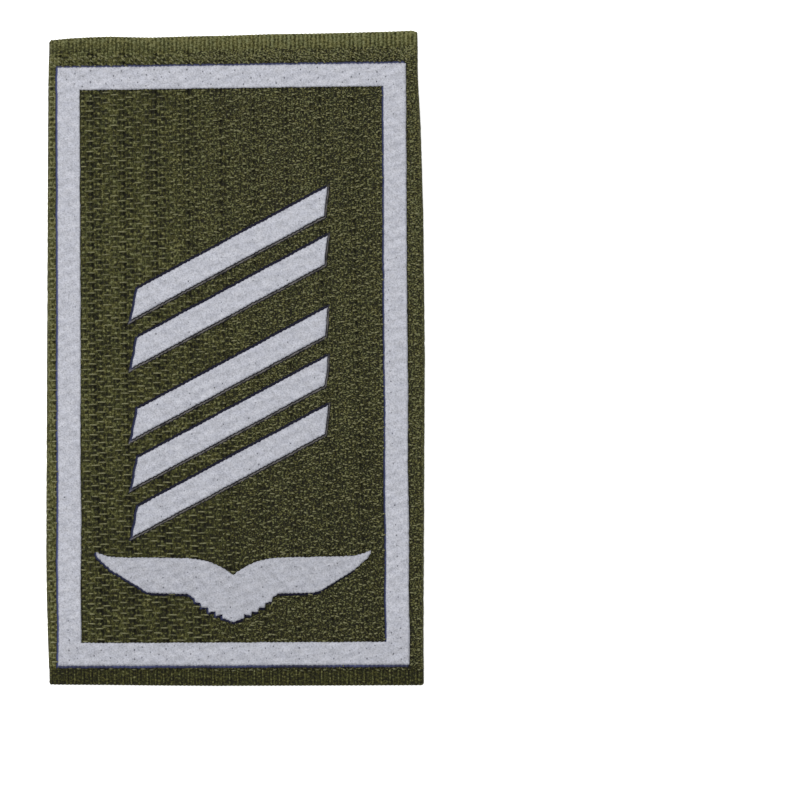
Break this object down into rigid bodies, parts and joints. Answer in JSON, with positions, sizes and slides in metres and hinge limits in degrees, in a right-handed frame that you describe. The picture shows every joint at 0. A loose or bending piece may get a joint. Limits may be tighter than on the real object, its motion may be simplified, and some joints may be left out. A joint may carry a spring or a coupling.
{
  "type": "rank patch",
  "caption": "Rectangular olive hook-backed cloth rank patch with a printed light frame, slanting bars and spread wings.",
  "frame": {"origin": "centre of the underside of the hooks, below the middle of the patch, which lies face up", "axes": "+Z out of the printed face, +Y towards the top of the print, +X to the print's right along the tape"},
  "size_m": [0.0586, 0.1006, 0.0024],
  "materials": {
    "olive_tape": "woven nylon, matt with glints",
    "hook_nylon": "nylon monofilament hooks",
    "light_ink": "matt printed film over the weave",
    "dark_ink": "matt printed line"
  },
  "bodies": {
    "root": {"woven_tape": "olive_tape", "hook_field": "hook_nylon", "printed_frame": "light_ink", "rank_bar_1": "light_ink", "rank_bar_2": "light_ink", "rank_bar_3": "light_ink", "rank_bar_4": "light_ink", "rank_bar_5": "light_ink", "bar_keyline_1": "dark_ink", "bar_keyline_2": "dark_ink", "bar_keyline_3": "dark_ink", "bar_keyline_4": "dark_ink", "bar_keyline_5": "dark_ink", "printed_wings": "light_ink"}
  },
  "joints": []
}
